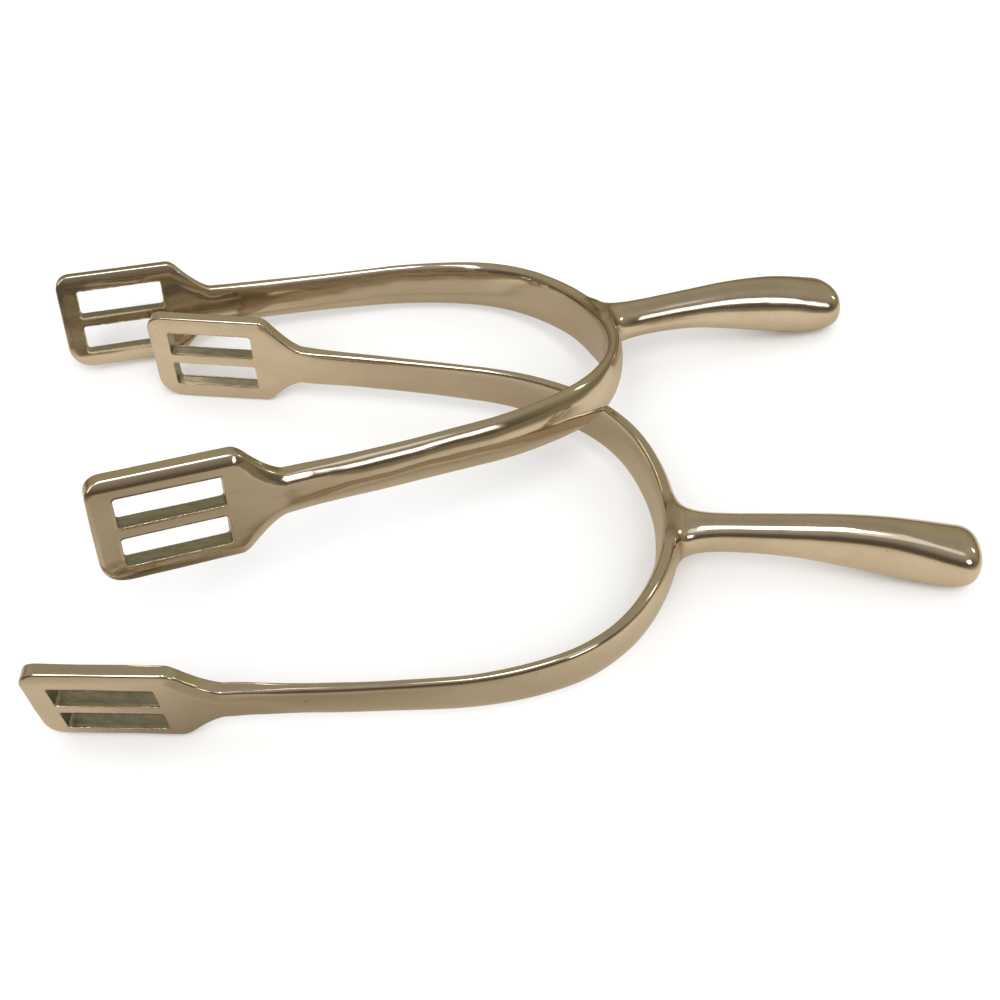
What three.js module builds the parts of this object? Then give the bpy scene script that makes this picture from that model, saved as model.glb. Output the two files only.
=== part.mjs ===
// A pair of plain riding spurs with blunt necks, taken off the boots and laid one across the other.
// Millimetres, +Z up. Each spur is drawn standing on a table: the boot's heel sits inside the U and
// points along -X, and the neck runs back along +X. The wearer's left is -Y and right is +Y.
// The lower spur stands square to the axes. The upper spur is turned, and leans on the lower one.
// The origin is at the middle of the pair's footprint, on the table.

import * as THREE from "three";
import { LoftGeometry } from "three/addons/geometries/LoftGeometry.js";

// Joint line: the small gap between two pieces that are brazed together.
const jointGap = 0.3;

// Heel band: a U seen from above. The inner face is four arcs on each side of the heel's middle,
// each a radius and a sweep in degrees, then a short straight.
const heelArcs = [
  { radius: 37, sweep: 29.3 },
  { radius: 28.7, sweep: 35.3 },
  { radius: 59, sweep: 18 },
  { radius: 340, sweep: 5.4 },
];
const branchStraight = 5.5;
// Its section at even stations from the heel's middle to a branch's end.
const bandStations = [0, 0.25, 0.5, 0.75, 1];
const bandHeight = [11, 10.5, 9.4, 8.4, 8.4];
const bandThickness = [4.5, 3.5, 2.9, 2.9, 3.4];
const bandMiddle = [8.0, 9.1, 9.4, 9.6, 9.9]; // height of the section's middle above the table
const bandLean = 1.2; // degrees, the top edge leans away from the boot, and more so by the plate
const bandFlatShare = 0.47; // share of the thickness that is the flat inner half of the D section
const bandFlatness = 3.2; // exponent of the flat inner half
const bandCrown = 1.86; // exponent of the rounded outer half

// Strap plate: a flat plate at each branch end with two slots, one above the other.
const slotLength = 16.9;
const slotHeight = 5.4;
const middleBar = 2.3;
const topBorder = 3.8;
const bottomBorder = 3.5;
const freeEndBorder = 4.1;
const bandEndBorder = 2.3;
const shoulderLength = 6.6;
const plateThickness = 3.4;
const plateBevel = 0.5;
const plateLean = 3.8; // degrees, the top edge leans away from the boot
const plateSetOut = 0.75; // the plate's inner face stands out from the band's by this much
const topCornerRadius = 3.8;
const bottomCornerRadius = 4.8;
const plateHeight = bottomBorder + 2 * slotHeight + middleBar + topBorder;

// Neck: a bar that swells and droops to a blunt end. Its stations are shares of its length.
const neckLength = 54.6;
const neckStations = [0, 0.35, 0.7, 0.88, 1];
const neckHalfWidth = [3.1, 3.5, 4.6, 5.5, 6];
const neckUnderside = [5.6, 5.2, 1.1, -0.15, 0.3];
const neckTop = [13, 13.8, 13.4, 11.4, 9.9];
const neckSquareness = 2.3; // exponent of the section: 2 is an oval
const neckEndRounding = 5.5; // length of the rounded end
const rootFlare = 2.9; // the root widens by this much where it meets the band
const rootFlareLength = 2.6;

// How the upper spur lies, from the lower spur's place: turned, tipped and leaning.
const upperYaw = 22.4;
const upperPitch = 4.6;
const upperRoll = -15.45;
const upperPlace = [-12.7, 47.5, 4.62];

// Fineness of the solids.
const sectionPoints = 16;
const bandSteps = 24; // on each side of the heel
const neckSteps = 14;
const neckEndSteps = 5;
const outlineSegments = 5;

const { degToRad, lerp } = THREE.MathUtils;
const up = new THREE.Vector3(0, 0, 1);

const branchLength =
  heelArcs.reduce((sum, arc) => sum + arc.radius * degToRad(arc.sweep), 0) + branchStraight;

// The inner face of the band, at a distance along it from the heel's middle, positive to the right.
// point is on the face and outward is level, away from the boot.
function innerFace(distance) {
  let left = Math.abs(distance);
  let angle = 0;
  let x = 0;
  let y = 0;
  for (const arc of heelArcs) {
    const turn = Math.min(left / arc.radius, degToRad(arc.sweep));
    x += arc.radius * (Math.cos(angle + turn) - Math.cos(angle));
    y += arc.radius * (Math.sin(angle + turn) - Math.sin(angle));
    angle += turn;
    left -= turn * arc.radius;
  }
  x -= left * Math.sin(angle);
  y += left * Math.cos(angle);
  const side = Math.sign(distance) || 1;
  return {
    point: new THREE.Vector3(x, side * y, 0),
    outward: new THREE.Vector3(Math.cos(angle), side * Math.sin(angle), 0),
  };
}

// A superellipse's two factors at an angle, each from -1 to 1.
function rounded(angle, exponent) {
  const power = 2 / exponent;
  const c = Math.cos(angle);
  const s = Math.sin(angle);
  return [Math.sign(c) * Math.abs(c) ** power, Math.sign(s) * Math.abs(s) ** power];
}

function sectionAngle(index) {
  return (index / sectionPoints) * 2 * Math.PI;
}

const bandProfile = new THREE.CubicInterpolant(
  bandStations,
  bandStations.flatMap((_, i) => [bandHeight[i], bandThickness[i], bandMiddle[i]]),
  3,
);

// One D section of the band: flat towards the boot, rounded outwards. It leans about the level of
// the plates' middle.
function bandSection(distance) {
  const share = Math.abs(distance) / branchLength;
  const [height, thickness, middle] = bandProfile.evaluate(share);
  const flat = bandFlatShare * thickness;
  const lean = degToRad(lerp(bandLean, plateLean, share ** 4));
  const { point, outward } = innerFace(distance);
  const ring = [];
  for (let i = 0; i < sectionPoints; i++) {
    const outer = Math.cos(sectionAngle(i)) > 0;
    const [c, s] = rounded(sectionAngle(i), outer ? bandCrown : bandFlatness);
    const depth = flat + c * (outer ? thickness - flat : flat);
    const above = middle + (s * height) / 2 - plateHeight / 2;
    const out = depth * Math.cos(lean) + above * Math.sin(lean);
    const rise = plateHeight / 2 + above * Math.cos(lean) - depth * Math.sin(lean);
    ring.push(point.clone().addScaledVector(outward, out).addScaledVector(up, rise));
  }
  return ring;
}

function bandGeometry() {
  const reach = branchLength - jointGap / 2;
  const sections = [];
  for (let i = bandSteps; i >= -bandSteps; i--) {
    sections.push(bandSection((reach * i) / bandSteps));
  }
  return new LoftGeometry(sections, { capStart: true, capEnd: true });
}

// Where the neck is cut across, as shares of its length: even steps, then closer round the end.
function neckCuts() {
  const body = 1 - neckEndRounding / neckLength;
  const cuts = [];
  for (let i = 0; i < neckSteps; i++) cuts.push((body * i) / neckSteps);
  for (let i = 0; i <= neckEndSteps; i++) {
    cuts.push(body + (1 - body) * Math.sin(((i / neckEndSteps) * Math.PI) / 2));
  }
  return cuts;
}

function neckGeometry() {
  const stationValues = neckStations.flatMap((_, i) => [neckHalfWidth[i], neckUnderside[i], neckTop[i]]);
  const profile = new THREE.CubicInterpolant(neckStations, stationValues, 3);
  const start = bandThickness[0] + jointGap;
  const sections = neckCuts().map((share) => {
    const [halfWidth, underside, top] = profile.evaluate(share);
    const along = share * neckLength;
    const flare = rootFlare * Math.exp(-along / rootFlareLength);
    const past = Math.max(0, 1 - (neckLength - along) / neckEndRounding);
    const closing = Math.max(0.15, (1 - past ** 2.6) ** (1 / 2.6));
    const middle = (top + underside) / 2;
    const ring = [];
    for (let i = 0; i < sectionPoints; i++) {
      const [c, s] = rounded(sectionAngle(i), neckSquareness);
      const y = c * (halfWidth + flare) * closing;
      const z = middle + s * ((top - underside) / 2 + flare / 4) * closing;
      ring.push(new THREE.Vector3(start + along, y, z));
    }
    return ring;
  });
  return new LoftGeometry(sections, { capStart: true, capEnd: true });
}

function slot(bottom) {
  const start = shoulderLength + bandEndBorder;
  const hole = new THREE.Path();
  hole.moveTo(start, bottom);
  hole.lineTo(start, bottom + slotHeight);
  hole.lineTo(start + slotLength, bottom + slotHeight);
  hole.lineTo(start + slotLength, bottom);
  hole.closePath();
  return hole;
}

// The plate's outline in its own plane: X from the band to the free end, Y up from the bottom edge.
function plateGeometry() {
  const bandBottom = bandMiddle.at(-1) - bandHeight.at(-1) / 2;
  const bandTop = bandMiddle.at(-1) + bandHeight.at(-1) / 2;
  const end = shoulderLength + bandEndBorder + slotLength + freeEndBorder;
  const bend = shoulderLength / 2;
  const outline = new THREE.Shape();
  outline.moveTo(jointGap / 2, bandBottom);
  outline.bezierCurveTo(bend, bandBottom, bend, 0, shoulderLength, 0);
  outline.lineTo(end - bottomCornerRadius, 0);
  outline.absarc(end - bottomCornerRadius, bottomCornerRadius, bottomCornerRadius, -Math.PI / 2, 0);
  outline.lineTo(end, plateHeight - topCornerRadius);
  outline.absarc(end - topCornerRadius, plateHeight - topCornerRadius, topCornerRadius, 0, Math.PI / 2);
  outline.lineTo(shoulderLength, plateHeight);
  outline.bezierCurveTo(bend, plateHeight, bend, bandTop, jointGap / 2, bandTop);
  outline.closePath();
  outline.holes = [slot(bottomBorder), slot(bottomBorder + slotHeight + middleBar)];
  return new THREE.ExtrudeGeometry(outline, {
    depth: plateThickness - 2 * plateBevel,
    bevelThickness: plateBevel,
    bevelSize: plateBevel,
    bevelOffset: -plateBevel,
    bevelSegments: 2,
    curveSegments: outlineSegments,
  });
}

function piece(name, geometry, color, roughness) {
  const material = new THREE.MeshStandardMaterial({ color, roughness, metalness: 1 });
  const mesh = new THREE.Mesh(geometry, material);
  mesh.name = name;
  return mesh;
}

// Stands the plate at a branch's end: its length carries on the branch and its top leans outwards.
function strapPlate(name, side) {
  const plate = piece(name, plateGeometry(), 0xa79a80, 0.25);
  const { point, outward } = innerFace(side * branchLength);
  const lean = degToRad(plateLean);
  const along = new THREE.Vector3().crossVectors(outward, up).multiplyScalar(-side);
  const upright = up.clone().multiplyScalar(Math.cos(lean)).addScaledVector(outward, Math.sin(lean));
  const across = new THREE.Vector3().crossVectors(along, upright);
  plate.quaternion.setFromRotationMatrix(new THREE.Matrix4().makeBasis(along, upright, across));
  const innerSkin = side > 0 ? plateBevel : plateThickness - plateBevel;
  plate.position
    .copy(point)
    .addScaledVector(outward, plateSetOut)
    .addScaledVector(up, plateHeight / 2)
    .addScaledVector(upright, -plateHeight / 2)
    .addScaledVector(across, side * innerSkin);
  return plate;
}

function spur(name) {
  const group = new THREE.Group();
  group.add(piece(`${name}_heel_band`, bandGeometry(), 0xb3a88f, 0.2));
  group.add(strapPlate(`${name}_left_strap_plate`, -1));
  group.add(strapPlate(`${name}_right_strap_plate`, 1));
  group.add(piece(`${name}_neck`, neckGeometry(), 0xbfb59c, 0.15));
  return group;
}

const lowerSpur = spur("lower_spur");
const upperSpur = spur("upper_spur");
upperSpur.rotation.set(degToRad(upperRoll), degToRad(upperPitch), degToRad(upperYaw), "ZYX");
upperSpur.position.set(...upperPlace);

const pair = new THREE.Group();
pair.add(lowerSpur, upperSpur);
const box = new THREE.Box3().setFromObject(pair, true);
pair.position.set(-(box.min.x + box.max.x) / 2, -(box.min.y + box.max.y) / 2, -box.min.z);

export default pair;
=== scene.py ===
"""Looks for a pair of riding spurs with blunt necks, laid one across the other.

Each spur is one smooth surface, described by a formula in the spur's own flow coordinates: s along
the heel band from the middle of the heel, w outwards from the band's inner face, and v upwards. In
the strap plates, u is the distance along from the plate's root, where the branch ends. The surface
is meshed once, cut where the record's pieces meet, and set down twice.
The spurs' lengths are in millimetres until place() turns them into the frame's metres.
"""

from math import cos, radians, sin, tan

import bmesh
import bpy
import numpy as np
from mathutils import Euler, Matrix, Vector


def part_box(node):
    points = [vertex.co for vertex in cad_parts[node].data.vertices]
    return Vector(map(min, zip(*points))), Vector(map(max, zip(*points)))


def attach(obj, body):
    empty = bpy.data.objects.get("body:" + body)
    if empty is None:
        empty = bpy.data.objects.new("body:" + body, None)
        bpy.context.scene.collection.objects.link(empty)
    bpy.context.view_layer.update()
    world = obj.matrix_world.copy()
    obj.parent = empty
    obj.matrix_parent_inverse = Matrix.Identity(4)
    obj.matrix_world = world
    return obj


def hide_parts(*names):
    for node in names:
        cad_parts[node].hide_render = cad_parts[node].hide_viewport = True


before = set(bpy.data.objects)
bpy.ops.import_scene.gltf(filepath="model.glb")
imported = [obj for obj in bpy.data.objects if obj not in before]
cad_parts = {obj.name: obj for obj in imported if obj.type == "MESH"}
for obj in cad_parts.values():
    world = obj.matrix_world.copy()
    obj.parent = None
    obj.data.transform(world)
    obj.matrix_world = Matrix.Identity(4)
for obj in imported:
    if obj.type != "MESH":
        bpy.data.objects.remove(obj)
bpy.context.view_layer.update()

MM = 0.001

# Heel band: the arcs of its inner face (radius, sweep in degrees), then a short straight.
HEEL_ARCS = ((37.0, 29.3), (28.7, 35.3), (59.0, 18.0), (340.0, 5.4))
BRANCH_STRAIGHT = 5.5
BAND_STATIONS = (0, 0.25, 0.5, 0.75, 1)
BAND_HEIGHT = (11, 10.5, 9.4, 8.4, 8.4)
BAND_THICKNESS = (4.5, 3.5, 2.9, 2.9, 3.4)
BAND_MIDDLE = (8.0, 9.1, 9.4, 9.6, 9.9)
BAND_LEAN = radians(1.2)
TALLEST_SHARE = 0.47  # the section is tallest at this share of its thickness
INNER_POWER, CROWN_POWER = 3.3, 1.9

# Strap plates.
SLOT_LENGTH, SLOT_HEIGHT = 16.9, 5.4
MIDDLE_BAR, TOP_BORDER, BOTTOM_BORDER = 2.3, 3.8, 3.5
FREE_BORDER, BAND_BORDER = 4.1, 2.3
SHOULDER_START, SHOULDER = -0.6, 6.6  # the outline widens to the plate's height between these
SHOULDER_POWER, SHOULDER_SOFTNESS = 1.45, 0.25
TOP_SHOULDER_SHIFT, BOTTOM_SHOULDER_SHIFT = 0.7, 0.2  # the shoulders start this much nearer the heel
PLATE_THICKNESS = 3.4
PLATE_BEVEL = 0.5  # of the frame's plates, which stand on its lower edge
PLATE_LEAN = radians(3.8)
PLATE_SET_OUT = 0.75
TOP_CORNER, BOTTOM_CORNER = 3.2, 4.8
SLOT_CORNER = 0.5

# The stretches of u over which the band turns into the plate.
LEANING, STEPPING_OUT, THICKENING, FLATTENING = (-40, 4), (-6, 8), (-4, 2), (-15, 0)

# The plates' faces fall back towards the outline: by how much, over what width, by what power.
OUTER_PILLOW = (0.8, 2.1, 1.35)
INNER_PILLOW = (0.35, 3.0, 2)
MOST_PILLOW = 1.3  # the fall stops growing at this many widths from where it starts
END_PILLOW_CUT = 1.3  # the fall is this much narrower at the free end
PILLOW_BLEND = 0.8
RIM_ROUNDING = 0.25
SLOT_ROUNDING = 0.2

# Neck.
NECK_START = 4.8
NECK_FOOT = 1.5  # it reaches into the band to this distance from the inner face
NECK_LENGTH = 54.6
NECK_STATIONS = (0, 0.35, 0.7, 0.88, 1)
NECK_HALF_WIDTH = (3.1, 3.5, 4.6, 5.5, 6)
NECK_UNDERSIDE = (5.6, 5.2, 1.1, -0.15, 0.3)
NECK_TOP = (13, 13.8, 13.4, 11.4, 9.9)
NECK_POWER = 2.3
NECK_LOW_AT_ROOT, NECK_LOW_AT_TIP = 0.22, 0.1  # the widest line lies this share below the middle
NECK_END, NECK_END_POWER = 5.5, 2.6
ROOT_FLARE, ROOT_FLARE_LENGTH = 1.9, 2.6
ROOT_FLARE_RISE = 0.25  # the flare upwards, as a share of the flare sideways
ROOT_FILLET = 1.5

# How the upper spur lies.
UPPER_TURN = Euler((radians(-15.45), radians(4.6), radians(22.4)), "XYZ")
UPPER_PLACE = Vector((-12.7, 47.5, 4.62))

# Hand polishing.
SKIN_DEPTH = 0.1  # how far the polished surface lies inside the drawn sizes
WAVES = ((26, 0.05), (13, 0.022), (7, 0.008), (4.5, 0.004))  # lengths and sizes
WAVES_OF_EACH_LENGTH = 5
WAVE_SEEDS = {"lower_spur": 3, "upper_spur": 8}

# Meshing.
FAR = 9.0  # stands for far outside; nothing but the neck is as far out as this
ARM_REACH = 5.5  # the band and the plates lie within this w
NECK_REACH = 9  # beyond them, the neck lies within this s
ROOT_REACH = 14  # the neck's root runs into the band within this s
EDGE_STRIP, EDGE_STEP = 0.5, 0.167  # half width and grid step of the strips along the slots' edges
SLOPE_STEP = 0.01  # for central differences
LEAST_SLOPE = 0.3  # keeps the distances finite near the middle of a section
SETTLE_ROUNDS, LONGEST_MOVE, LEAST_SQUARED_SLOPE = 4, 0.2, 0.05
CUT_TOLERANCE, ON_CUT = 1e-4, 1e-3  # corners this near a cut are moved onto it, or count as on it
TINY = 1e-6  # keeps powers and divisions off 0

# Metal.
METAL_PALE = (0.71, 0.635, 0.53)
METAL_BROWN = (0.66, 0.57, 0.465)
METAL_OLIVE = (0.60, 0.56, 0.43)
METAL_DARK = (0.30, 0.24, 0.17)
WALL_PALE = (0.46, 0.435, 0.36)
WALL_DARK = (0.33, 0.315, 0.245)
CREASE_BROWN = (0.40, 0.26, 0.17)
RELIEF = {"polished_metal": (0.0012, 0.012), "cast_metal": (0.0016, 0.02)}  # grain and ripple, in mm

# Where the marks that the metal reads fade out, in mm.
WALL_FADE, WALL_DEPTH = (0.05, 0.35), (0.1, 0.5)
BURR_WIDTH, BURR_DEPTH = 0.25, (0.3, 0.8)
CREASE_REACH = 12

# The table as it shows in the metal, with painted light and shade: bright beside the necks, darker towards
# the front and edges.
TABLE_PAINTED_LIGHT = (0.72, 0.635, 0.505)
TABLE_PAINTED_SHADE = (0.19, 0.16, 0.10)
TABLE_SPAN = (-0.3, 0.2)  # the stretch of X and of Y, in metres, that the brightness is given over
BRIGHTNESS_ALONG_X = (
    (0.0, 0.10), (0.36, 0.7), (0.46, 1.0), (0.5, 0.97), (0.55, 0.72),
    (0.63, 0.62), (0.72, 1.0), (0.81, 1.0), (0.86, 0.25), (0.92, 0.0),
)
BRIGHTNESS_ALONG_Y = (
    (0.0, 0.0), (0.2, 0.1), (0.32, 0.45), (0.42, 0.7), (0.5, 0.9),
    (0.58, 1.0), (0.64, 1.0), (0.72, 0.8), (0.78, 0.2), (0.84, 0.0),
)
# Painted shadows of the upper spur's raised plate on it: place and reach in metres, and depth.
TABLE_PAINTED_SHADOWS = (((-0.027, -0.08, 0.0), 0.035, 0.55), ((-0.048, -0.045, 0.0), 0.024, 0.9))
TABLE_SEEN = (0.97, 0.97, 0.97)

# The room as it shows in the metal, from straight down (0) to straight up (1): all round, and
# towards the front.
ROOM = (
    (0.40, (0.20, 0.17, 0.09)),
    (0.49, (0.24, 0.20, 0.11)),
    (0.56, (0.34, 0.30, 0.18)),
    (0.68, (0.40, 0.355, 0.225)),
    (0.80, (0.42, 0.38, 0.275)),
    (0.92, (0.37, 0.335, 0.25)),
    (1.00, (0.40, 0.37, 0.29)),
)
ROOM_FRONT = (
    (0.45, (0.10, 0.085, 0.06)),
    (0.62, (0.13, 0.10, 0.075)),
    (0.74, (0.36, 0.32, 0.26)),
    (0.84, (0.46, 0.415, 0.36)),
    (0.93, (0.40, 0.36, 0.27)),
    (1.00, (0.40, 0.37, 0.29)),
)
WHITE = (1.0, 1.0, 1.0)

# Soft boxes: azimuth and elevation, width and height as seen from the spurs, in degrees; strength.
LIGHTS = {
    "window": (131, 17, 16, 12, 2.4),
    "blind": (138, 50, 28, 22, 0.55),
    "lamp": (156, 63, 20, 23, 4),
    "front_lamp": (204, 46, 10, 34, 4),
    "side_window": (78, 20, 7, 9, 3.5),
}
LIGHT_DISTANCE = 2.0  # metres

CAMERA_AZIMUTH, CAMERA_ELEVATION, CAMERA_DISTANCE = radians(-2.956), radians(49.51), 222.9
CAMERA_TARGET = Vector((-29.02, 5.06, 10))  # from the lower spur's origin
CAMERA_LENS, CAMERA_SENSOR = 43.25, 36

BRANCH = sum(r * radians(a) for r, a in HEEL_ARCS) + BRANCH_STRAIGHT
PLATE_HEIGHT = BOTTOM_BORDER + 2 * SLOT_HEIGHT + MIDDLE_BAR + TOP_BORDER
PLATE_LENGTH = SHOULDER + BAND_BORDER + SLOT_LENGTH + FREE_BORDER
NECK_CUT = BAND_THICKNESS[0] + 0.15  # the neck's piece starts just outside the band


def mix(a, b, t):
    return a + (b - a) * t


def smooth(x, low, high):
    t = np.clip((x - low) / (high - low), 0, 1)
    return t * t * (3 - 2 * t)


def soft_min(a, b, size):
    h = np.clip(0.5 + 0.5 * (b - a) / size, 0, 1)
    return mix(b, a, h) - size * h * (1 - h)


def soft_max(a, b, size):
    return -soft_min(-a, -b, size)


def cubic_through(stations, knots, at):
    """Natural cubic spline through the knots."""
    x = np.array(stations, float)
    y = np.array(knots, float)
    n = len(x)
    step = np.diff(x)
    matrix = np.eye(n)
    right = np.zeros(n)
    for i in range(1, n - 1):
        matrix[i, i - 1 : i + 2] = step[i - 1], 2 * (step[i - 1] + step[i]), step[i]
        right[i] = 6 * ((y[i + 1] - y[i]) / step[i] - (y[i] - y[i - 1]) / step[i - 1])
    bend = np.linalg.solve(matrix, right)
    i = np.clip(np.searchsorted(x, at) - 1, 0, n - 2)
    h = step[i]
    a = (x[i + 1] - at) / h
    b = (at - x[i]) / h
    return a * y[i] + b * y[i + 1] + ((a**3 - a) * bend[i] + (b**3 - b) * bend[i + 1]) * h * h / 6


# ---- flow coordinates to the spur's own frame --------------------------------------------------


def heel_curve(distance):
    """Point and level outward direction of the band's inner face, for distances from the heel."""
    left = np.abs(distance)
    angle = np.zeros_like(left)
    x = np.zeros_like(left)
    y = np.zeros_like(left)
    for radius, sweep in HEEL_ARCS:
        turn = np.minimum(left / radius, radians(sweep))
        x += radius * (np.cos(angle + turn) - np.cos(angle))
        y += radius * (np.sin(angle + turn) - np.sin(angle))
        angle += turn
        left = left - turn * radius
    x -= left * np.sin(angle)
    y += left * np.cos(angle)
    return x, y, angle


def to_spur(flow):
    """Flow coordinates to the spur's frame. Towards the plate, the section leans and steps out."""
    s, w, v = flow[:, 0], flow[:, 1], flow[:, 2]
    u = np.abs(s) - BRANCH
    side = np.where(s < 0, -1.0, 1.0)
    x, y, angle = heel_curve(s)
    lean = mix(BAND_LEAN, PLATE_LEAN, smooth(u, *LEANING))
    above = v - PLATE_HEIGHT / 2
    step = PLATE_SET_OUT * smooth(u, *STEPPING_OUT)
    out = step + w * np.cos(lean) + above * np.sin(lean)
    height = PLATE_HEIGHT / 2 + above * np.cos(lean) - w * np.sin(lean)
    return np.stack([x + out * np.cos(angle), side * (y + out * np.sin(angle)), height], axis=1)


# ---- the surface: each function is below 0 inside and about the distance outside -----------------


def oval(across, up, power):
    """Distance from a superellipse, given the two coordinates as (value, half size) pairs."""
    (a, ra), (b, rb) = across, up
    p = np.abs(a) / ra
    q = np.abs(b) / rb
    g = np.maximum((p**power + q**power) ** (1 / power), TINY)
    slope = np.hypot(p ** (power - 1) / ra, q ** (power - 1) / rb) * g ** (1 - power)
    return (g - 1) / np.maximum(slope, LEAST_SLOPE / np.minimum(ra, rb))


def band_profile(s):
    """Height, thickness and middle of the band's section."""
    share = np.minimum(s / BRANCH, 1)
    return [cubic_through(BAND_STATIONS, k, share) for k in (BAND_HEIGHT, BAND_THICKNESS, BAND_MIDDLE)]


def band(s, w, v):
    """The heel band, nearly flat inside and crowned outside."""
    height, thickness, middle = band_profile(s)
    tallest = TALLEST_SHARE * thickness
    outer = w > tallest
    depth = np.where(outer, thickness - tallest, tallest)
    crown = oval((w - tallest, depth), (v - middle, height / 2), CROWN_POWER)
    inner = oval((w - tallest, depth), (v - middle, height / 2), INNER_POWER)
    return np.where(outer, crown, inner)


def shoulder(u):
    """How far the outline has widened, from the band (0) to the plate (1), and its rate along u."""
    rise = np.maximum(u - SHOULDER_START, 0) / (SHOULDER - SHOULDER_START)
    climb = rise**SHOULDER_POWER
    widened = soft_min(climb, np.ones_like(u), SHOULDER_SOFTNESS)
    still_climbing = np.clip(0.5 + 0.5 * (1 - climb) / SHOULDER_SOFTNESS, 0, 1)
    rate = SHOULDER_POWER * rise ** (SHOULDER_POWER - 1) / (SHOULDER - SHOULDER_START)
    return widened, rate * still_climbing


def plate_outline(u, v):
    """Distances from the plate's outline and from its top or bottom edge, in the plate's plane.

    Both run on into the band at u < 0.
    """
    height, _, band_middle = band_profile(BRANCH + np.minimum(u, 0))
    top_share, top_rate = shoulder(u + TOP_SHOULDER_SHIFT)
    bottom_share, bottom_rate = shoulder(u + BOTTOM_SHOULDER_SHIFT)
    band_top = band_middle + height / 2
    band_bottom = band_middle - height / 2
    top = mix(band_top, PLATE_HEIGHT, top_share)
    bottom = mix(band_bottom, 0, bottom_share)
    upper = v > (top + bottom) / 2
    slope = np.where(upper, top_rate * (PLATE_HEIGHT - band_top), bottom_rate * band_bottom)
    edge = np.where(upper, v - top, bottom - v) / np.sqrt(1 + slope**2)
    corner = np.where(v > PLATE_HEIGHT / 2, TOP_CORNER, BOTTOM_CORNER)
    return rounded(u - PLATE_LENGTH + corner, edge + corner) - corner, edge


def rounded(p, q):
    """Distance from a square corner, given the distances from its two sides."""
    return np.hypot(np.maximum(p, 0), np.maximum(q, 0)) + np.minimum(np.maximum(p, q), 0)


def slots(u, v):
    """Distance from the nearer slot, below 0 inside it."""
    middle_u = SHOULDER + BAND_BORDER + SLOT_LENGTH / 2
    above = np.abs(v - BOTTOM_BORDER - SLOT_HEIGHT - MIDDLE_BAR / 2)
    p = np.abs(u - middle_u) - SLOT_LENGTH / 2 + SLOT_CORNER
    q = np.abs(above - (MIDDLE_BAR + SLOT_HEIGHT) / 2) - SLOT_HEIGHT / 2 + SLOT_CORNER
    return rounded(p, q) - SLOT_CORNER


def pillow(distance, depth, width, power):
    """How far a face falls back near the outline."""
    return depth * np.clip(1 + distance / width, 0, MOST_PILLOW) ** power


def plate(u, w, v):
    """A strap plate: a slab between two faces that fall back at the outline, less the slots."""
    outline, edge = plate_outline(u, v)
    falling = soft_max(edge, outline - END_PILLOW_CUT, PILLOW_BLEND)
    _, branch_thickness, _ = band_profile(BRANCH + np.minimum(u, 0))
    thickness = mix(branch_thickness, PLATE_THICKNESS, smooth(u, *THICKENING))
    outside = w - thickness + pillow(falling, *OUTER_PILLOW)
    inside = pillow(falling, *INNER_PILLOW) - w
    slab = soft_max(np.maximum(outside, inside), outline, 2 * RIM_ROUNDING)
    return soft_max(slab, -slots(u, v), SLOT_ROUNDING)


def neck_profile(along):
    """Half width, middle and half height of the neck. The curves run on a little into the band."""
    share = np.clip(along / NECK_LENGTH, -0.1, 1)
    knots = (NECK_HALF_WIDTH, NECK_UNDERSIDE, NECK_TOP)
    half_width, underside, top = [cubic_through(NECK_STATIONS, k, share) for k in knots]
    flare = ROOT_FLARE * np.exp(-np.maximum(along, -2) / ROOT_FLARE_LENGTH)
    return half_width + flare, (top + underside) / 2, (top - underside) / 2 + flare * ROOT_FLARE_RISE


def neck(points):
    """The neck, at points of the spur's frame: superellipses along its curve, closed at the tip."""
    x, y, z = points.T
    along = x - NECK_START
    half_width, middle, half_height = neck_profile(along)
    drop = half_height * mix(NECK_LOW_AT_ROOT, NECK_LOW_AT_TIP, np.clip(along / NECK_LENGTH, 0, 1))
    above = z - middle + drop
    half_height = half_height + np.where(above > 0, drop, -drop)
    p = np.abs(y) / half_width
    q = np.abs(above) / half_height
    section = np.maximum((p**NECK_POWER + q**NECK_POWER) ** (1 / NECK_POWER), TINY)
    slope = np.hypot(p ** (NECK_POWER - 1) / half_width, q ** (NECK_POWER - 1) / half_height)
    slope = np.maximum(slope * section ** (1 - NECK_POWER), LEAST_SLOPE / half_width)
    past = np.maximum(along - NECK_LENGTH + NECK_END, 0) / NECK_END
    closed = (section**NECK_END_POWER + past**NECK_END_POWER) ** (1 / NECK_END_POWER)
    pull = (section / closed) ** (NECK_END_POWER - 1)
    steep = np.hypot(slope * pull, (past / closed) ** (NECK_END_POWER - 1) / NECK_END)
    return np.maximum((closed - 1) / steep, NECK_FOOT - x)


def surface(flow):
    """The whole spur: band, plates and neck run into each other."""
    s, w, v = np.abs(flow[:, 0]), flow[:, 1], flow[:, 2]
    u = s - BRANCH
    into_plate = smooth(u, *FLATTENING)
    near = w < FAR
    on_band = near & (into_plate < 1)
    on_plate = near & (into_plate > 0)
    spur = np.where(near, 0.0, FAR)
    spur[on_band] += (1 - into_plate[on_band]) * band(s[on_band], w[on_band], v[on_band])
    spur[on_plate] += into_plate[on_plate] * plate(u[on_plate], w[on_plate], v[on_plate])
    by_neck = s < ROOT_REACH
    if by_neck.any():
        spur[by_neck] = soft_min(spur[by_neck], neck(to_spur(flow[by_neck])), ROOT_FILLET)
    return spur


# ---- meshing --------------------------------------------------------------------------------------


def lines(start, *stretches):
    """Grid lines from a start over stretches of (end, about this step)."""
    parts = []
    for end, step in stretches:
        count = max(1, round((end - start) / step))
        parts.append(np.linspace(start, end, count, endpoint=False))
        start = end
    parts.append([start])
    return np.concatenate(parts)


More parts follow.
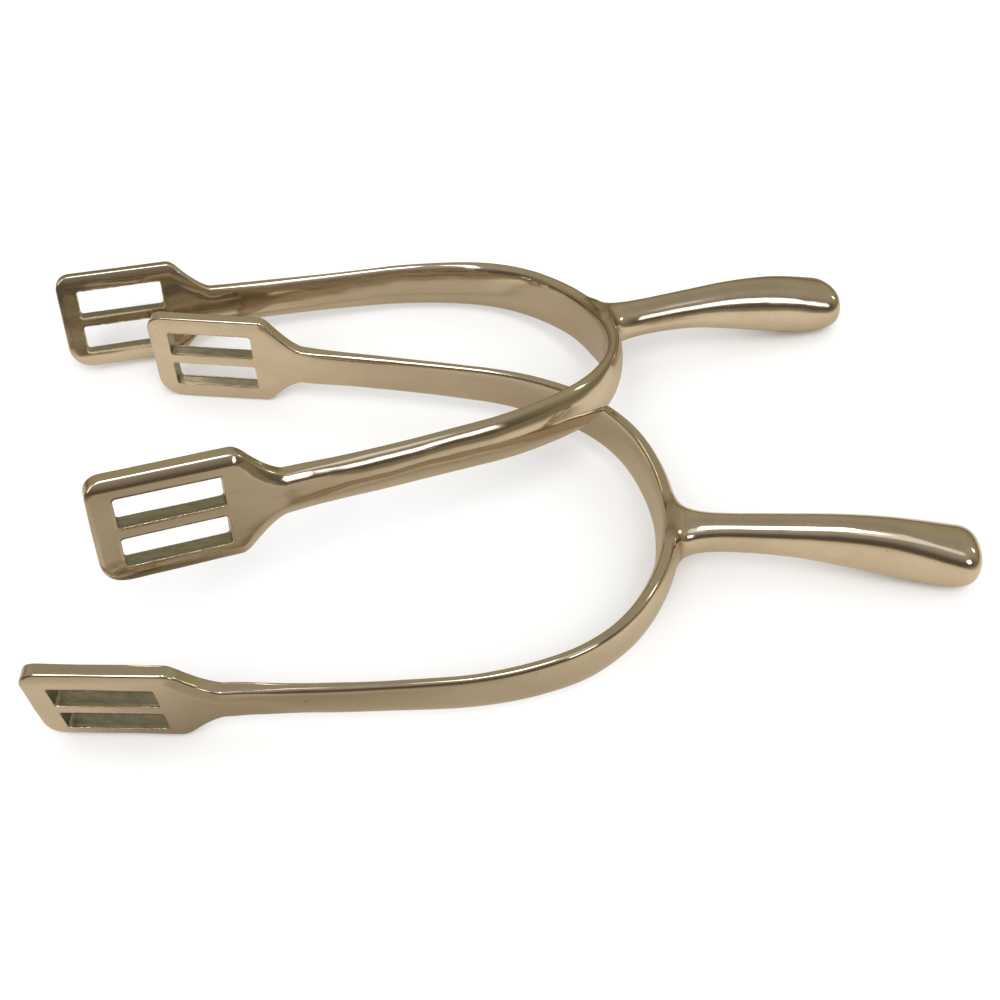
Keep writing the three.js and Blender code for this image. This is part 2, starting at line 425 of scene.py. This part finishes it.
def grid_lines():
    """The grid's s, w and v: finer where the surface bends, and finest over the slots' edges."""
    slot_start = BRANCH + SHOULDER + BAND_BORDER
    slot_end = slot_start + SLOT_LENGTH
    half = lines(
        0.1,
        (3.1, 0.2),
        (12.1, 0.3),
        (BRANCH - 16, 0.6),
        (slot_start - EDGE_STRIP, 0.3),
        (slot_start + EDGE_STRIP, EDGE_STEP),
        (slot_end - EDGE_STRIP, 0.4),
        (slot_end + EDGE_STRIP, EDGE_STEP),
        (BRANCH + PLATE_LENGTH + 0.5, 0.25),
    )
    s = np.concatenate([-half[::-1], half])
    tip = NECK_START + NECK_LENGTH
    # One of these lies on the neck's cut, so that the cut leaves no slivers.
    w = lines(-0.65, (NECK_CUT, 0.2), (FAR, 0.2), (tip - 6, 0.45), (tip + 0.9, 0.3))
    bottom_slot_top = BOTTOM_BORDER + SLOT_HEIGHT
    rows = [(1.25, 0.2)]
    for edge in (BOTTOM_BORDER, bottom_slot_top, bottom_slot_top + MIDDLE_BAR, PLATE_HEIGHT - TOP_BORDER):
        rows.append((edge - EDGE_STRIP, 0.3))
        rows.append((edge + EDGE_STRIP, EDGE_STEP))
    rows.append((PLATE_HEIGHT - 1.25, 0.25))
    rows.append((PLATE_HEIGHT + 0.75, 0.2))
    return s, w, lines(-0.75, *rows)


def sample(s, w, v):
    """The surface function on the grid, worked out for one side and mirrored to the other."""
    values = np.full((len(s), len(w), len(v)), FAR)
    other_side = np.arange(len(s)) < len(s) // 2
    arm = (~other_side, w < ARM_REACH)
    outer_neck = (~other_side & (s < NECK_REACH), w >= ARM_REACH)
    for pick_s, pick_w in (arm, outer_neck):
        i = np.flatnonzero(pick_s)
        j = np.flatnonzero(pick_w)
        block = np.stack(np.meshgrid(s[i], w[j], v, indexing="ij"), axis=-1)
        values[np.ix_(i, j, range(len(v)))] = surface(block.reshape(-1, 3)).reshape(block.shape[:3])
    values[other_side] = values[::-1][other_side]
    return values


def surface_net(s, w, v, values):
    """A mesh with one corner in each cell that the surface crosses, joined across crossed edges."""
    inside = values < 0
    shape = np.array(values.shape) - 1
    total = np.zeros((*shape, 3))
    count = np.zeros(shape)
    axes = (s, w, v)
    quads = []
    for axis in range(3):
        low = [slice(None)] * 3
        high = [slice(None)] * 3
        low[axis], high[axis] = slice(None, -1), slice(1, None)
        low, high = tuple(low), tuple(high)
        crossed = inside[low] != inside[high]
        at = np.argwhere(crossed)
        a, b = values[low][crossed], values[high][crossed]
        t = a / (a - b)
        spots = np.stack([axes[k][at[:, k]] for k in range(3)], axis=1)
        spots[:, axis] = mix(axes[axis][at[:, axis]], axes[axis][at[:, axis] + 1], t)
        others = [k for k in range(3) if k != axis]
        around = []
        for da, db in ((0, 0), (1, 0), (1, 1), (0, 1)):
            cell = at.copy()
            cell[:, others[0]] -= da
            cell[:, others[1]] -= db
            around.append(cell)
            np.add.at(total, tuple(cell.T), spots)
            np.add.at(count, tuple(cell.T), 1)
        quad = np.stack([np.ravel_multi_index(tuple(c.T), tuple(shape)) for c in around], axis=1)
        turned = inside[low][crossed] if axis != 1 else ~inside[low][crossed]
        quads.append(np.where(turned[:, None], quad[:, ::-1], quad))
    used = count > 0
    number = np.full(count.size, -1)
    number[used.ravel()] = np.arange(used.sum())
    corners = total[used] / count[used][:, None]
    return corners, number[np.concatenate(quads)]


def rates(function, points):
    """How fast a function of points changes along each coordinate, by central differences."""
    changes = []
    for k in range(3):
        step = np.zeros(3)
        step[k] = SLOPE_STEP
        changes.append((function(points + step) - function(points - step)) / (2 * SLOPE_STEP))
    return np.stack(changes, axis=-1)


def settle(points, fixed=()):
    """Moves points onto the surface, keeping the fixed coordinates."""
    points = points.copy()
    for _ in range(SETTLE_ROUNDS):
        slope = rates(surface, points)
        for k in fixed:
            slope[:, k] = 0
        size = np.maximum((slope**2).sum(axis=1), LEAST_SQUARED_SLOPE)
        shift = surface(points)[:, None] * slope / size[:, None]
        points -= np.clip(shift, -LONGEST_MOVE, LONGEST_MOVE)
    return points


def cut(corners, faces):
    """Splits the mesh on the planes where the pieces meet."""
    mesh = bmesh.new()
    made = [mesh.verts.new(c) for c in corners]
    for f in faces:
        mesh.faces.new([made[i] for i in f])
    planes = [((BRANCH, 0, 0), (1, 0, 0)), ((-BRANCH, 0, 0), (1, 0, 0)), ((0, NECK_CUT, 0), (0, 1, 0))]
    for spot, across in planes:
        everything = mesh.verts[:] + mesh.edges[:] + mesh.faces[:]
        bmesh.ops.bisect_plane(mesh, geom=everything, dist=CUT_TOLERANCE, plane_co=spot, plane_no=across)
    mesh.verts.index_update()
    corners = np.array([v.co for v in mesh.verts])
    faces = [[v.index for v in f.verts] for f in mesh.faces]
    mesh.free()
    return corners, faces


def spur_mesh():
    """Corners (in flow coordinates) and faces of one spur, and the name of each face's piece."""
    s, w, v = grid_lines()
    corners, faces = surface_net(s, w, v, sample(s, w, v))
    corners = settle(corners)
    corners, faces = cut(corners, faces.tolist())
    on_branch = np.abs(np.abs(corners[:, 0]) - BRANCH) < ON_CUT
    on_neck = np.abs(corners[:, 1] - NECK_CUT) < ON_CUT
    corners[on_branch] = settle(corners[on_branch], fixed=(0,))
    corners[on_neck] = settle(corners[on_neck], fixed=(1,))
    centres = np.array([corners[f].mean(axis=0) for f in faces])
    names = np.full(len(faces), "heel_band", dtype=object)
    names[centres[:, 0] > BRANCH] = "right_strap_plate"
    names[centres[:, 0] < -BRANCH] = "left_strap_plate"
    names[centres[:, 1] > NECK_CUT] = "neck"
    return corners, faces, names


def facing(flow):
    """Outward unit normals in the spur's frame at points of the surface."""
    slope = rates(surface, flow)
    turn = rates(to_spur, flow)
    normal = np.linalg.solve(np.transpose(turn, (0, 2, 1)), slope[:, :, None])[:, :, 0]
    return normal / np.linalg.norm(normal, axis=1, keepdims=True)


# ---- marks on the surface, which the metal reads ------------------------------------------------


def under_face(w):
    """Depth below the nearer face of a plate."""
    return PLATE_THICKNESS / 2 - np.abs(w - PLATE_THICKNESS / 2)


def slot_wall(flow):
    """1 on the walls inside the slots, fading out at their edges."""
    u, w, v = np.abs(flow[:, 0]) - BRANCH, flow[:, 1], flow[:, 2]
    return (1 - smooth(slots(u, v), *WALL_FADE)) * smooth(under_face(w), *WALL_DEPTH)


def slot_edge(flow):
    """1 along the slots' edges on the faces, where the casting left a fine burr."""
    u, w, v = np.abs(flow[:, 0]) - BRANCH, flow[:, 1], flow[:, 2]
    return np.exp(-((slots(u, v) / BURR_WIDTH) ** 2)) * (1 - smooth(under_face(w), *BURR_DEPTH))


def root_crease(flow):
    """1 in the bottom of the hollow where the neck's root meets the band."""
    depth = np.zeros(len(flow))
    near = (np.abs(flow[:, 0]) < CREASE_REACH) & (flow[:, 1] < FAR)
    part = flow[near]
    gap = np.abs(band(np.abs(part[:, 0]), part[:, 1], part[:, 2]) - neck(to_spur(part)))
    depth[near] = np.clip(1 - gap / ROOT_FILLET, 0, 1) ** 2
    return depth


# ---- the pieces -----------------------------------------------------------------------------------


def unevenness(points, seed):
    """Height of the slight waviness that hand polishing leaves, in mm."""
    rng = np.random.default_rng(seed)
    total = np.zeros(len(points))
    for length, size in WAVES:
        for _ in range(WAVES_OF_EACH_LENGTH):
            way = rng.normal(size=3)
            way *= 2 * np.pi / length / np.linalg.norm(way)
            total += size / 2 * np.sin(points @ way + rng.uniform(0, 2 * np.pi))
    return total


def polished(flow, seed):
    """Points and normals of the finished surface, in the spur's frame."""
    spots = to_spur(flow)
    normals = facing(flow)
    height = unevenness(spots, seed)
    tilt = rates(lambda p: unevenness(p, seed), spots)
    tilt -= (tilt * normals).sum(axis=1, keepdims=True) * normals
    spots = spots + normals * (height[:, None] - SKIN_DEPTH)
    normals = normals - tilt
    return spots, normals / np.linalg.norm(normals, axis=1, keepdims=True)


def closed_mesh(name, spots, faces):
    """The skin of a piece with flat caps where it was cut, and how many of its faces are skin."""
    mesh = bmesh.new()
    made = [mesh.verts.new(spot) for spot in spots]
    for f in faces:
        mesh.faces.new([made[i] for i in f])
    skin = len(mesh.faces)
    rim = [e for e in mesh.edges if e.is_boundary]
    bmesh.ops.triangle_fill(mesh, use_beauty=True, edges=rim)
    if mesh.calc_volume(signed=True) < 0:
        raise SystemExit(f"{name} is inside out")
    data = bpy.data.meshes.new(name)
    mesh.to_mesh(data)
    mesh.free()
    data.polygons.foreach_set("use_smooth", np.ones(len(data.polygons), bool))
    return data, skin


def add_marks(data, flow, marks):
    """Stores the flow coordinates in metres and each mark's strength at the corners."""
    flow_data = data.attributes.new("flow", "FLOAT_VECTOR", "POINT")
    flow_data.data.foreach_set("vector", (flow * MM).astype(np.float32).ravel())
    for mark, strength in marks.items():
        mark_data = data.attributes.new(mark, "FLOAT", "POINT")
        mark_data.data.foreach_set("value", strength.astype(np.float32))


def set_down(data, skin, normals, where):
    """Moves a mesh to its place, with the surface's own normals on its skin and flat caps."""
    loops = []
    for polygon in data.polygons:
        for index in polygon.vertices:
            loops.append(tuple(normals[index] if polygon.index < skin else polygon.normal))
    data.transform(where)
    turn = np.array(where.to_3x3().normalized())
    data.normals_split_custom_set((np.array(loops) @ turn.T).tolist())


def place(origin, turn, shift):
    """Matrix from the spur's frame in mm to the row frame in metres."""
    scale = Matrix.Scale(MM, 4)
    return Matrix.Translation(origin) @ scale @ Matrix.Translation(shift) @ turn.to_matrix().to_4x4()


def build_spur(body, shape, where, finishes):
    """The four pieces of one spur, each in place of its node and riding on the spur's body."""
    flow, faces, names = shape
    marks = {"wall": slot_wall(flow), "burr": slot_edge(flow), "crease": root_crease(flow)}
    spots, normals = polished(flow, WAVE_SEEDS[body])
    for kind in ("heel_band", "left_strap_plate", "right_strap_plate", "neck"):
        node = f"{body}_{kind}"
        own = [f for f, n in zip(faces, names) if n == kind]
        used = sorted({i for f in own for i in f})
        number = {old: new for new, old in enumerate(used)}
        data, skin = closed_mesh(node, spots[used], [[number[i] for i in f] for f in own])
        add_marks(data, flow[used], {mark: strength[used] for mark, strength in marks.items()})
        set_down(data, skin, normals[used], where)
        slot = "cast_metal" if kind.endswith("plate") else "polished_metal"
        data.materials.append(finishes[slot])
        obj = bpy.data.objects.new(f"{node}_visual", data)
        bpy.context.scene.collection.objects.link(obj)
        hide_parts(node)
        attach(obj, body)


# ---- materials ------------------------------------------------------------------------------------


class Nodes:
    """Short calls for building a node tree."""

    def __init__(self, tree):
        self.tree = tree
        tree.nodes.clear()

    def add(self, kind, values=(), **settings):
        node = self.tree.nodes.new(f"ShaderNode{kind}")
        for key, value in settings.items():
            setattr(node, key, value)
        for key, value in dict(values).items():
            self.set(node, key, value)
        return node

    def set(self, node, key, value):
        if isinstance(value, bpy.types.Node):
            value = value.outputs[0]
        if isinstance(value, bpy.types.NodeSocket):
            self.tree.links.new(value, node.inputs[key])
        else:
            node.inputs[key].default_value = value

    def math(self, operation, a, b=0.0, third=0.0, clamp=False):
        return self.add("Math", {0: a, 1: b, 2: third}, operation=operation, use_clamp=clamp)

    def total(self, start, terms):
        """A start plus the terms, each given as (value, weight)."""
        for value, weight in terms:
            start = self.math("MULTIPLY_ADD", value, weight, third=start)
        return start

    def span(self, value, low, high):
        """0 at low and 1 at high."""
        return self.add("MapRange", {"Value": value, "From Min": low, "From Max": high})

    def ramp(self, factor, stops):
        """A colour ramp from (position, colour or grey) stops."""
        node = self.add("ValToRGB", {0: factor})
        elements = node.color_ramp.elements
        while len(elements) < len(stops):
            elements.new(0.5)
        for element, (position, colour) in zip(elements, stops):
            element.position = position
            grey = isinstance(colour, (int, float))
            element.color = (colour, colour, colour, 1) if grey else (*colour, 1)
        return node

    def mix(self, factor, a, b):
        node = self.add("Mix", data_type="RGBA")
        for socket, value in ((0, factor), (6, a), (7, b)):
            if isinstance(value, tuple):
                value = (*value, 1)
            self.set(node, socket, value)
        return node.outputs[2]

    def noise(self, vector, scale, detail, roughness):
        values = {"Vector": vector, "Scale": scale, "Detail": detail, "Roughness": roughness}
        return self.add("TexNoise", values)

    def streaks(self, flow, squeeze, scale, detail, roughness):
        """Noise drawn out along the flow: the smaller the squeeze, the longer the streaks."""
        drawn_out = self.add("Mapping", {"Vector": flow, "Scale": (squeeze, 1, 1)})
        return self.noise(drawn_out, scale, detail, roughness)


def new_material(name):
    material = bpy.data.materials.new(name)
    material.use_nodes = True
    return material, Nodes(material.node_tree)


def metal_colour(n, flow, wall, crease, specks):
    """Pale metal with brown stains, olive tarnish, dark specks, dull slot walls and a brown crease."""
    stain = n.ramp(n.streaks(flow, 0.5, 90, 3, 0.6), [(0.32, 0.0), (0.7, 1.0)])
    colour = n.mix(stain, METAL_PALE, METAL_BROWN)
    tarnish = n.ramp(n.streaks(flow, 0.6, 210, 4, 0.65), [(0.48, 0.0), (0.72, 0.7)])
    colour = n.mix(tarnish, colour, METAL_OLIVE)
    colour = n.mix(specks, colour, METAL_DARK)
    mottle = n.ramp(n.streaks(flow, 0.35, 1100, 3, 0.6), [(0.34, WALL_DARK), (0.66, WALL_PALE)])
    colour = n.mix(wall, colour, mottle)
    return n.mix(n.math("MULTIPLY", crease, 0.75), colour, CREASE_BROWN)


def metal(name, grain, ripple):
    """Warm polished metal: polishing lines along the flow, ripples, scratches, pitted walls, burrs."""
    material, n = new_material(name)
    flow = n.add("Attribute", attribute_name="flow").outputs["Vector"]
    wall = n.add("Attribute", attribute_name="wall").outputs["Fac"]
    burr = n.add("Attribute", attribute_name="burr").outputs["Fac"]
    crease = n.add("Attribute", attribute_name="crease").outputs["Fac"]
    specks = n.ramp(n.noise(flow, 900, 2, 0.5), [(0.70, 0.0), (0.78, 0.55)])
    scratches = n.ramp(n.streaks(flow, 0.05, 2300, 1, 0.4), [(0.66, 0.0), (0.74, 1.0)])
    smear = n.streaks(flow, 0.4, 260, 3, 0.6)
    rough = n.total(0.055, [(smear, 0.10), (scratches, 0.10), (specks, 0.2), (wall, 0.22)])
    polishing = n.streaks(flow, 0.03, 5200, 2, 0.6)
    ripples = n.streaks(flow, 0.3, 330, 2, 0.5)
    pits = n.math("MULTIPLY", n.noise(flow, 1500, 3, 0.7), wall)
    burrs = n.math("MULTIPLY", n.noise(flow, 1300, 2, 0.6), burr)
    relief = [(polishing, grain), (ripples, ripple), (scratches, -0.6 * grain), (pits, 0.06), (burrs, 0.22)]
    bump = n.add("Bump", {"Height": n.total(0.0, relief), "Distance": MM, "Strength": 1.0})
    colour = metal_colour(n, flow, wall, crease, specks)
    values = {"Base Color": colour, "Metallic": 1.0, "Roughness": rough, "Normal": bump}
    n.add("OutputMaterial", {0: n.add("BsdfPrincipled", values)})
    return material


def table_top():
    """White to the eye, and in reflections a warm uneven glow of painted light and shade."""
    material, n = new_material("floor")
    position = n.add("NewGeometry").outputs["Position"]
    spot = n.add("SeparateXYZ", {0: position})
    # Painted light and shade: the table's colour in reflections brightens and darkens with place.
    along_x = n.ramp(n.span(spot.outputs[0], *TABLE_SPAN), BRIGHTNESS_ALONG_X)
    along_y = n.ramp(n.span(spot.outputs[1], *TABLE_SPAN), BRIGHTNESS_ALONG_Y)
    lit = n.math("MULTIPLY", along_x, along_y)
    # Painted shadows: the table's colour is darkened in pools under the upper spur's raised plate.
    for shade_place, reach, depth in TABLE_PAINTED_SHADOWS:
        offset = n.add("VectorMath", {0: position, 1: shade_place}, operation="DISTANCE")
        shade = n.span(offset.outputs["Value"], reach, 0.3 * reach)
        lit = n.math("MULTIPLY", lit, n.math("MULTIPLY_ADD", shade, -depth, third=1.0))
    table = n.mix(lit, TABLE_PAINTED_SHADE, TABLE_PAINTED_LIGHT)
    seen = n.add("LightPath").outputs["Is Camera Ray"]
    colour = n.mix(seen, table, TABLE_SEEN)
    shader = n.add("BsdfPrincipled", {"Base Color": colour, "Roughness": 0.9, "Specular IOR Level": 0.0})
    n.add("OutputMaterial", {0: shader})
    return material


# ---- the set --------------------------------------------------------------------------------------


def make_floor():
    """A plain level floor under the spurs."""
    mesh = bmesh.new()
    bmesh.ops.create_grid(mesh, x_segments=8, y_segments=8, size=3)
    data = bpy.data.meshes.new("floor")
    mesh.to_mesh(data)
    mesh.free()
    data.materials.append(table_top())
    floor = bpy.data.objects.new("floor", data)
    bpy.context.scene.collection.objects.link(floor)


def make_world():
    """White to the eye and for light on the floor; in reflections, a dim warm room."""
    world = bpy.data.worlds.new("studio")
    bpy.context.scene.world = world
    world.use_nodes = True
    n = Nodes(world.node_tree)
    way = n.add("TexCoord").outputs["Generated"]
    parts = n.add("SeparateXYZ", {0: way})
    height = n.span(parts.outputs[2], -1.0, 1.0)
    towards_front = n.span(parts.outputs[1], 0.0, -0.5)
    room = n.mix(towards_front, n.ramp(height, ROOM), n.ramp(height, ROOM_FRONT))
    path = n.add("LightPath")
    plain = n.math("ADD", path.outputs["Is Camera Ray"], path.outputs["Is Diffuse Ray"], clamp=True)
    glow = n.add("Background", {"Color": n.mix(plain, room, WHITE), "Strength": 1.0})
    n.add("OutputWorld", {0: glow})


def make_light(name, azimuth, elevation, width, height, strength, origin):
    """A soft box in a direction from the spurs: azimuth from +Y towards +X. Angles are in degrees."""
    a, e = radians(azimuth), radians(elevation)
    way = Vector((sin(a) * cos(e), cos(a) * cos(e), sin(e)))
    data = bpy.data.lights.new(name, "AREA")
    data.shape = "RECTANGLE"
    data.size = 2 * LIGHT_DISTANCE * tan(radians(width / 2))
    data.size_y = 2 * LIGHT_DISTANCE * tan(radians(height / 2))
    data.energy = strength * data.size * data.size_y * np.pi
    light = bpy.data.objects.new(name, data)
    bpy.context.scene.collection.objects.link(light)
    aim(light, origin + way * LIGHT_DISTANCE, origin)
    light.visible_camera = False


def aim(obj, spot, target):
    """Puts a light or camera at a spot, looking at the target."""
    obj.location = spot
    obj.rotation_euler = (Vector(target) - Vector(spot)).to_track_quat("-Z", "Y").to_euler()


def make_camera(origin):
    """The camera, looking down at its target: azimuth from +Y towards +X."""
    level = cos(CAMERA_ELEVATION)
    back = Vector((-sin(CAMERA_AZIMUTH) * level, -cos(CAMERA_AZIMUTH) * level, sin(CAMERA_ELEVATION)))
    target = origin + CAMERA_TARGET * MM
    data = bpy.data.cameras.new("camera")
    data.lens = CAMERA_LENS
    data.sensor_width = CAMERA_SENSOR
    data.clip_start = 10 * MM
    camera = bpy.data.objects.new("camera", data)
    bpy.context.scene.collection.objects.link(camera)
    aim(camera, target + back * (CAMERA_DISTANCE * MM), target)
    bpy.context.scene.camera = camera


def lower_origin():
    """Where the lower spur's own origin lies in the row frame, from its pieces' boxes."""
    band_low, band_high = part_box("lower_spur_heel_band")
    neck_low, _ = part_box("lower_spur_neck")
    plate_low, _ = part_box("lower_spur_left_strap_plate")
    lean_rise = PLATE_HEIGHT / 2 * (1 - cos(PLATE_LEAN))
    plate_foot = lean_rise - (PLATE_THICKNESS - PLATE_BEVEL) * sin(PLATE_LEAN)
    middle = (band_low.y + band_high.y) / 2
    return Vector((neck_low.x - NECK_START * MM, middle, plate_low.z - plate_foot * MM))


origin = lower_origin()
finishes = {name: metal(name, *relief) for name, relief in RELIEF.items()}
shape = spur_mesh()
build_spur("lower_spur", shape, place(origin, Euler(), Vector()), finishes)
build_spur("upper_spur", shape, place(origin, UPPER_TURN, UPPER_PLACE), finishes)

make_floor()
make_world()
for name, settings in LIGHTS.items():
    make_light(name, *settings, origin)
make_camera(origin)
bpy.context.scene.view_settings.view_transform = "Standard"
